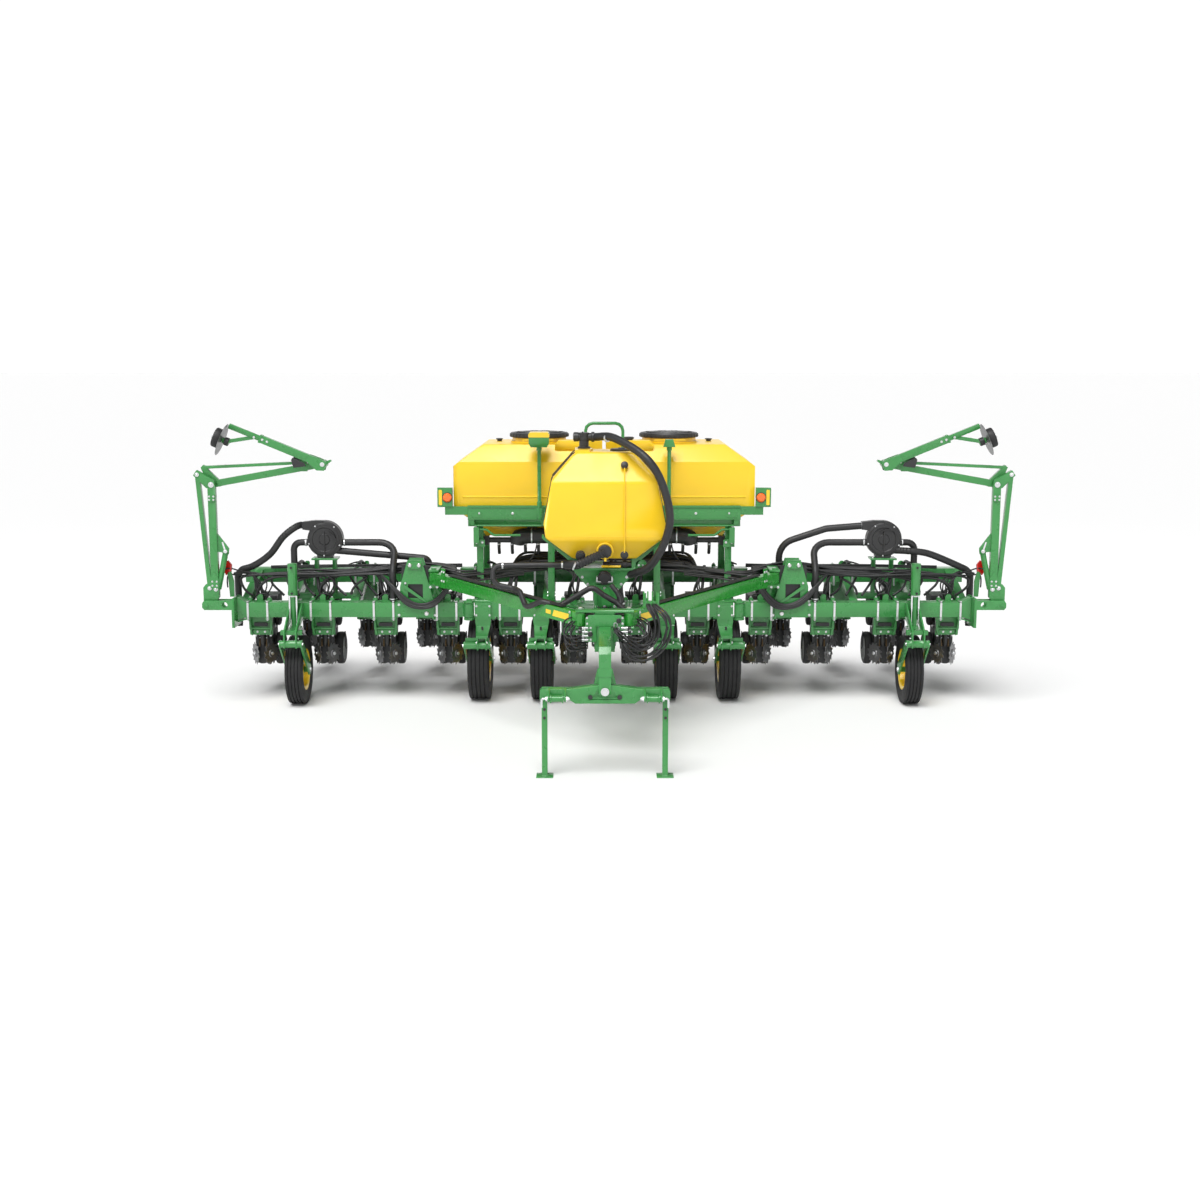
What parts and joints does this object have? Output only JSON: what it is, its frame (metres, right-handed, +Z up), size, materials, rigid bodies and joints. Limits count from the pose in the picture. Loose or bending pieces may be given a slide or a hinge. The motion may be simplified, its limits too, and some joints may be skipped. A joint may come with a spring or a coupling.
{
  "type": "front-folding split-row crop planter",
  "caption": "Trailed row crop planter with two ranks of row units, folding wings, telescoping tongue, bulk tanks and row markers.",
  "frame": {"origin": "on the ground under the middle of the whole machine", "axes": "+X to the machine's own left, -Y the way it is towed, +Z up"},
  "size_m": [9.74, 5.8979, 3.4135],
  "materials": {
    "green_paint": "gloss",
    "yellow_tank": "satin",
    "yellow_paint": "gloss",
    "black_casting": "satin",
    "black_plastic": "matte",
    "black_hose": "matte",
    "tyre_rubber": "matte",
    "wheel_rubber": "matte",
    "bright_steel": "satin"
  },
  "bodies": {
    "frame": {"air_ducts": "black_plastic", "centre_front_bar": "green_paint", "centre_rails": "green_paint", "centre_rear_bar": "green_paint", "centre_row_units": "black_casting", "centre_unit_wheels": "wheel_rubber", "centre_wheel_arms": "green_paint", "front_tank": "yellow_tank", "front_tank_cradle": "green_paint", "front_tank_fittings": "black_plastic", "left_tank": "yellow_tank", "lights_and_masts": "green_paint", "right_tank": "yellow_tank", "tank_frame": "green_paint", "tongue_tube": "green_paint"},
    "left_wing": {"left_wing_front_bar": "green_paint", "left_wing_rear_bar": "green_paint", "left_wing_row_units": "black_casting", "left_wing_unit_wheels": "wheel_rubber", "left_wing_wheel_arms": "green_paint", "left_blower": "black_plastic", "left_air_hose": "black_hose"},
    "left_wing_wheel": {"left_wing_tyre": "tyre_rubber", "left_wing_rim": "yellow_paint"},
    "left_marker_post_arm": {"left_marker_post": "green_paint"},
    "left_marker_boom_arm": {"left_marker_boom": "green_paint"},
    "left_marker_tip": {"left_marker_tip_arm": "green_paint"},
    "left_marker_wheel": {"left_marker_disc": "bright_steel"},
    "left_lid": {"left_tank_lid": "black_plastic"},
    "left_parking_stand": {"left_stand": "green_paint"},
    "left_link": {"left_draft_link": "green_paint"},
    "right_wing": {"right_wing_front_bar": "green_paint", "right_wing_rear_bar": "green_paint", "right_wing_row_units": "black_casting", "right_wing_unit_wheels": "wheel_rubber", "right_wing_wheel_arms": "green_paint", "right_blower": "black_plastic", "right_air_hose": "black_hose"},
    "right_wing_wheel": {"right_wing_tyre": "tyre_rubber", "right_wing_rim": "yellow_paint"},
    "right_marker_post_arm": {"right_marker_post": "green_paint"},
    "right_marker_boom_arm": {"right_marker_boom": "green_paint"},
    "right_marker_tip": {"right_marker_tip_arm": "green_paint"},
    "right_marker_wheel": {"right_marker_disc": "bright_steel"},
    "right_lid": {"right_tank_lid": "black_plastic"},
    "right_parking_stand": {"right_stand": "green_paint"},
    "right_link": {"right_draft_link": "green_paint"},
    "left_inner_centre_wheel": {"left_inner_centre_tyre": "tyre_rubber", "left_inner_centre_rim": "yellow_paint"},
    "left_outer_centre_wheel": {"left_outer_centre_tyre": "tyre_rubber", "left_outer_centre_rim": "yellow_paint"},
    "right_inner_centre_wheel": {"right_inner_centre_tyre": "tyre_rubber", "right_inner_centre_rim": "yellow_paint"},
    "right_outer_centre_wheel": {"right_outer_centre_tyre": "tyre_rubber", "right_outer_centre_rim": "yellow_paint"},
    "tongue": {"tongue_slide": "green_paint", "hitch_beam": "green_paint", "hose_bracket": "green_paint", "hitch_hoses": "black_hose"}
  },
  "joints": [
    {"name": "left_wing_fold", "type": "hinge", "parent": "frame", "child": "left_wing", "pos_m": [1.63, 0.529, 1.15], "axis": [0, 0, -1], "range_deg": [0, 90]},
    {"name": "right_wing_fold", "type": "hinge", "parent": "frame", "child": "right_wing", "pos_m": [-1.63, 0.529, 1.15], "axis": [0, 0, 1], "range_deg": [0, 90]},
    {"name": "tongue_extend", "type": "slide", "parent": "frame", "child": "tongue", "axis": [0, -1, 0], "range_m": [0, 0.5973]},
    {"name": "left_link_swing", "type": "hinge", "parent": "tongue", "child": "left_link", "pos_m": [0.254, -1.869, 1.463], "axis": [0, 0, 1], "range_deg": [0, 12.99]},
    {"name": "right_link_swing", "type": "hinge", "parent": "tongue", "child": "right_link", "pos_m": [-0.254, -1.869, 1.463], "axis": [0, 0, -1], "range_deg": [0, 12.99]},
    {"name": "left_inner_centre_wheel_spin", "type": "hinge", "parent": "frame", "child": "left_inner_centre_wheel", "pos_m": [0.762, 0.843, 0.49384], "axis": [1, 0, 0], "continuous": true},
    {"name": "left_outer_centre_wheel_spin", "type": "hinge", "parent": "frame", "child": "left_outer_centre_wheel", "pos_m": [1.524, 0.843, 0.49384], "axis": [1, 0, 0], "continuous": true},
    {"name": "right_inner_centre_wheel_spin", "type": "hinge", "parent": "frame", "child": "right_inner_centre_wheel", "pos_m": [-0.762, 0.843, 0.49384], "axis": [1, 0, 0], "continuous": true},
    {"name": "right_outer_centre_wheel_spin", "type": "hinge", "parent": "frame", "child": "right_outer_centre_wheel", "pos_m": [-1.524, 0.843, 0.49384], "axis": [1, 0, 0], "continuous": true},
    {"name": "left_wing_wheel_spin", "type": "hinge", "parent": "left_wing", "child": "left_wing_wheel", "pos_m": [3.715, 0.567, 0.41483], "axis": [1, 0, 0], "continuous": true},
    {"name": "right_wing_wheel_spin", "type": "hinge", "parent": "right_wing", "child": "right_wing_wheel", "pos_m": [-3.715, 0.567, 0.41483], "axis": [1, 0, 0], "continuous": true},
    {"name": "left_marker_fold", "type": "hinge", "parent": "left_wing", "child": "left_marker_post_arm", "pos_m": [4.761, 0.441, 1.233], "axis": [0, 1, 0], "range_deg": [0, 97]},
    {"name": "left_marker_boom_fold", "type": "hinge", "parent": "left_marker_post_arm", "child": "left_marker_boom_arm", "pos_m": [4.66, 0.441, 2.679], "axis": [0, 1, 0], "range_deg": [0, 83]},
    {"name": "left_marker_tip_fold", "type": "hinge", "parent": "left_marker_boom_arm", "child": "left_marker_tip", "pos_m": [3.33274, 0.441, 2.9202], "axis": [0, -1, 0], "range_deg": [0, 147.6]},
    {"name": "left_marker_disc_spin", "type": "hinge", "parent": "left_marker_tip", "child": "left_marker_wheel", "pos_m": [4.52101, 0.441, 3.20988], "axis": [0.9245, 0, 0.3811], "continuous": true},
    {"name": "left_tank_lid_hinge", "type": "hinge", "parent": "frame", "child": "left_lid", "pos_m": [0.8, 1.716, 3.215], "axis": [-1, 0, 0], "range_deg": [0, 100]},
    {"name": "left_stand_slide", "type": "slide", "parent": "tongue", "child": "left_parking_stand", "axis": [0, 0, 1], "range_m": [0, 0.4]},
    {"name": "right_marker_fold", "type": "hinge", "parent": "right_wing", "child": "right_marker_post_arm", "pos_m": [-4.761, 0.441, 1.233], "axis": [0, -1, 0], "range_deg": [0, 97]},
    {"name": "right_marker_boom_fold", "type": "hinge", "parent": "right_marker_post_arm", "child": "right_marker_boom_arm", "pos_m": [-4.66, 0.441, 2.679], "axis": [0, -1, 0], "range_deg": [0, 83]},
    {"name": "right_marker_tip_fold", "type": "hinge", "parent": "right_marker_boom_arm", "child": "right_marker_tip", "pos_m": [-3.33274, 0.441, 2.9202], "axis": [0, 1, 0], "range_deg": [0, 147.6]},
    {"name": "right_marker_disc_spin", "type": "hinge", "parent": "right_marker_tip", "child": "right_marker_wheel", "pos_m": [-4.52101, 0.441, 3.20988], "axis": [-0.9245, 0, 0.3811], "continuous": true},
    {"name": "right_tank_lid_hinge", "type": "hinge", "parent": "frame", "child": "right_lid", "pos_m": [-0.8, 1.716, 3.215], "axis": [-1, 0, 0], "range_deg": [0, 100]},
    {"name": "right_stand_slide", "type": "slide", "parent": "tongue", "child": "right_parking_stand", "axis": [0, 0, 1], "range_m": [0, 0.4]}
  ],
  "couplings": [
    {"joint": "right_wing_fold", "follows": "left_wing_fold", "ratio": 1},
    {"joint": "tongue_extend", "follows": "left_wing_fold", "m_per_rad": 0.38017},
    {"joint": "left_link_swing", "follows": "left_wing_fold", "ratio": 0.14426},
    {"joint": "right_link_swing", "follows": "left_wing_fold", "ratio": 0.14426},
    {"joint": "left_marker_boom_fold", "follows": "left_marker_fold", "ratio": 0.85567},
    {"joint": "left_marker_tip_fold", "follows": "left_marker_fold", "ratio": 1.5216},
    {"joint": "right_marker_boom_fold", "follows": "right_marker_fold", "ratio": 0.85567},
    {"joint": "right_marker_tip_fold", "follows": "right_marker_fold", "ratio": 1.5216}
  ]
}
